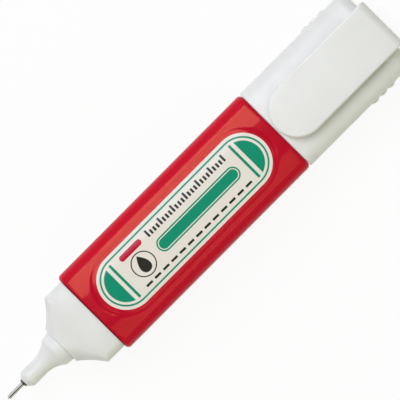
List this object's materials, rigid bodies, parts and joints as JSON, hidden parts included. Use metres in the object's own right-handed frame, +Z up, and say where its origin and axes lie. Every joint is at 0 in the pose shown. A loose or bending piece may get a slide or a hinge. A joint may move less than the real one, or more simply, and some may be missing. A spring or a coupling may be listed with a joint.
{
  "type": "correction pen",
  "caption": "Flat squeeze-barrel correction pen with a sprung metal needle tip, a printed film sleeve and a clip cap pushed onto its tail; squeezing and pressing the tip lets fluid out.",
  "frame": {"origin": "middle of the printed sleeve's length, on the flat strip of its back that lies on the desk", "axes": "+X along the pen from the metal tip to the cap, +Z up out of the face that carries the clip"},
  "size_m": [0.1319, 0.026, 0.0195],
  "materials": {
    "white_bottle": "soft white polyethylene, slightly waxy",
    "red_film": "glossy printed shrink film",
    "white_nozzle": "smooth white moulding",
    "steel": "drawn stainless steel",
    "natural_plastic": "unpigmented moulding",
    "spring_steel": "drawn spring wire",
    "ball_steel": "polished ball",
    "white_cap": "fine satin white moulding",
    "soft_seal": "soft elastomer"
  },
  "bodies": {
    "barrel": {"squeeze_bottle": "white_bottle", "printed_sleeve": "red_film", "nozzle": "white_nozzle", "tip_pipe": "steel", "spring_retainer": "natural_plastic", "valve_spring": "spring_steel"},
    "valve": {"valve_pin": "steel", "valve_plunger": "natural_plastic"},
    "ball": {"mixing_ball": "ball_steel"},
    "cap": {"cap": "white_cap", "tip_seal": "soft_seal"}
  },
  "joints": [
    {"name": "cap_pull", "type": "slide", "parent": "barrel", "child": "cap", "axis": [1, 0, 0], "range_m": [0, 0.045]},
    {"name": "tip_press", "type": "slide", "parent": "barrel", "child": "valve", "axis": [1, 0, 0], "range_m": [0, 0.00035], "stiffness_N_per_m": 100, "springref_m": -0.003, "deforming": ["valve_spring"]},
    {"name": "ball_roll", "type": "slide", "parent": "barrel", "child": "ball", "axis": [1, 0, 0], "range_m": [-0.029, 0.029]}
  ]
}
